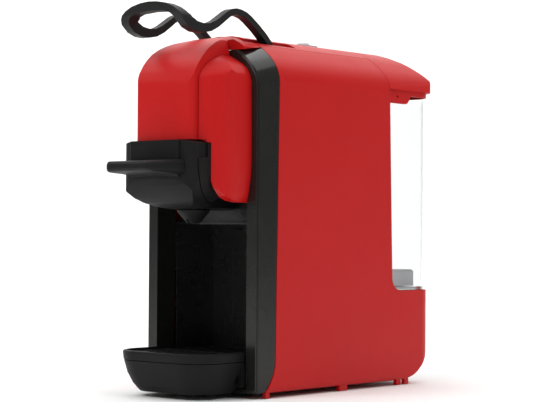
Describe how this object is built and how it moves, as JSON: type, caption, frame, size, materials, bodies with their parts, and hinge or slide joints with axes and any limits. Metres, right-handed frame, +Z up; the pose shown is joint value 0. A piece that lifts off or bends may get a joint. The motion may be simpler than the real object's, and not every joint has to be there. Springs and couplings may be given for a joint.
{
  "type": "capsule espresso machine",
  "caption": "Compact lever capsule espresso machine with rounded red shells, black arched front frame, sliding capsule holder, drip tray and clear rear water tank.",
  "frame": {"origin": "on the floor plane, under the centre of the overall bounding box", "axes": "+Z up, -Y towards the user (front with capsule holder and drip tray), +X to the right as the user sees it"},
  "size_m": [0.12, 0.3064, 0.2964],
  "materials": {
    "red_shell": "red satin moulded plastic",
    "red_front": "red satin moulded plastic of the head",
    "gloss_black": "near black glossy plastic",
    "matte_black": "fine grained matte black plastic",
    "lever_black": "dark grey satin plastic",
    "inner_black": "black plastic",
    "rubber_black": "soft black rubber",
    "clear_plastic": "clear plastic",
    "grey_plastic": "light grey plastic",
    "steel": "plain steel",
    "brass": "turned brass",
    "aluminium": "cast aluminium",
    "silicone": "translucent silicone",
    "ptfe": "white hose",
    "coil_black": "moulded coil, wound copper and iron inside",
    "board_green": "printed circuit board with components",
    "chrome_trim": "chromed plastic",
    "white_plastic": "white plastic"
  },
  "bodies": {
    "housing": {"front_frame": "gloss_black", "side_shell_right": "red_shell", "side_shell_left": "red_shell", "top_cover": "red_front", "cheek_right": "red_front", "cheek_left": "red_front", "cup_bay_liner": "gloss_black", "bay_back_plate": "inner_black", "bottom_cover": "inner_black", "rear_panel": "inner_black", "cord_gland": "rubber_black", "base_chassis": "inner_black", "tank_dock": "inner_black", "dock_socket": "grey_plastic", "socket_seal": "silicone", "foot_front_right": "rubber_black", "foot_front_left": "rubber_black", "foot_rear_right": "rubber_black", "foot_rear_left": "rubber_black", "brew_frame": "inner_black", "button_bezel": "white_plastic", "button_board": "board_green", "pump_coil": "coil_black", "pump_body": "brass", "pump_bracket": "steel", "pump_mount_front": "rubber_black", "pump_mount_rear": "rubber_black", "thermoblock": "aluminium", "thermostat": "steel", "thermal_fuse": "white_plastic", "boiler_bracket": "steel", "flow_meter": "grey_plastic", "main_board": "board_green", "terminal_block": "white_plastic", "tank_hose": "silicone", "pump_hose": "silicone", "pressure_hose": "ptfe", "brew_hose": "ptfe"},
    "tank": {"water_tank": "clear_plastic", "tank_filter": "grey_plastic", "valve_cap": "grey_plastic", "valve_spring": "steel"},
    "lid": {"tank_lid": "red_shell"},
    "valve": {"tank_valve": "grey_plastic"},
    "tray": {"drip_tray": "matte_black"},
    "grid": {"drip_grid": "matte_black"},
    "holder": {"capsule_holder": "matte_black", "capsule_seat": "inner_black", "seat_spike": "steel", "spout": "matte_black"},
    "piston": {"brew_piston": "grey_plastic", "piston_gasket": "silicone", "water_needle": "steel"},
    "lever_unit": {"lever": "lever_black", "lever_shaft": "steel", "cam_right": "grey_plastic", "cam_left": "grey_plastic"},
    "button_small": {"button_small_cup": "chrome_trim"},
    "button_large": {"button_large_cup": "chrome_trim"}
  },
  "joints": [
    {"name": "lever_pivot", "type": "hinge", "parent": "housing", "child": "lever_unit", "pos_m": [0, -0.0293, 0.255], "axis": [-1, 0, 0], "range_deg": [0, 80]},
    {"name": "piston_lift", "type": "slide", "parent": "housing", "child": "piston", "axis": [0, 0, 1], "range_m": [0, 0.006]},
    {"name": "holder_slide", "type": "slide", "parent": "housing", "child": "holder", "axis": [0, -1, 0], "range_m": [0, 0.11]},
    {"name": "tray_slide", "type": "slide", "parent": "housing", "child": "tray", "axis": [0, -1, 0], "range_m": [0, 0.13]},
    {"name": "grid_lift", "type": "slide", "parent": "tray", "child": "grid", "axis": [0, 0, 1], "range_m": [0, 0.03]},
    {"name": "tank_lift", "type": "slide", "parent": "housing", "child": "tank", "axis": [0, 0, 1], "range_m": [0, 0.16]},
    {"name": "lid_hinge", "type": "hinge", "parent": "tank", "child": "lid", "pos_m": [0, 0.0867, 0.2772], "axis": [1, 0, 0], "range_deg": [0, 95]},
    {"name": "valve_lift", "type": "slide", "parent": "tank", "child": "valve", "axis": [0, 0, 1], "range_m": [0, 0.003], "stiffness_N_per_m": 100, "springref_m": -0.002, "deforming": ["valve_spring"]},
    {"name": "button_small_press", "type": "slide", "parent": "housing", "child": "button_small", "axis": [0, 0, -1], "range_m": [0, 0.0012], "stiffness_N_per_m": 400, "springref_m": -0.001},
    {"name": "button_large_press", "type": "slide", "parent": "housing", "child": "button_large", "axis": [0, 0, -1], "range_m": [0, 0.0012], "stiffness_N_per_m": 400, "springref_m": -0.001}
  ],
  "couplings": [
    {"joint": "piston_lift", "follows": "lever_pivot", "m_per_rad": 0.0042972}
  ]
}
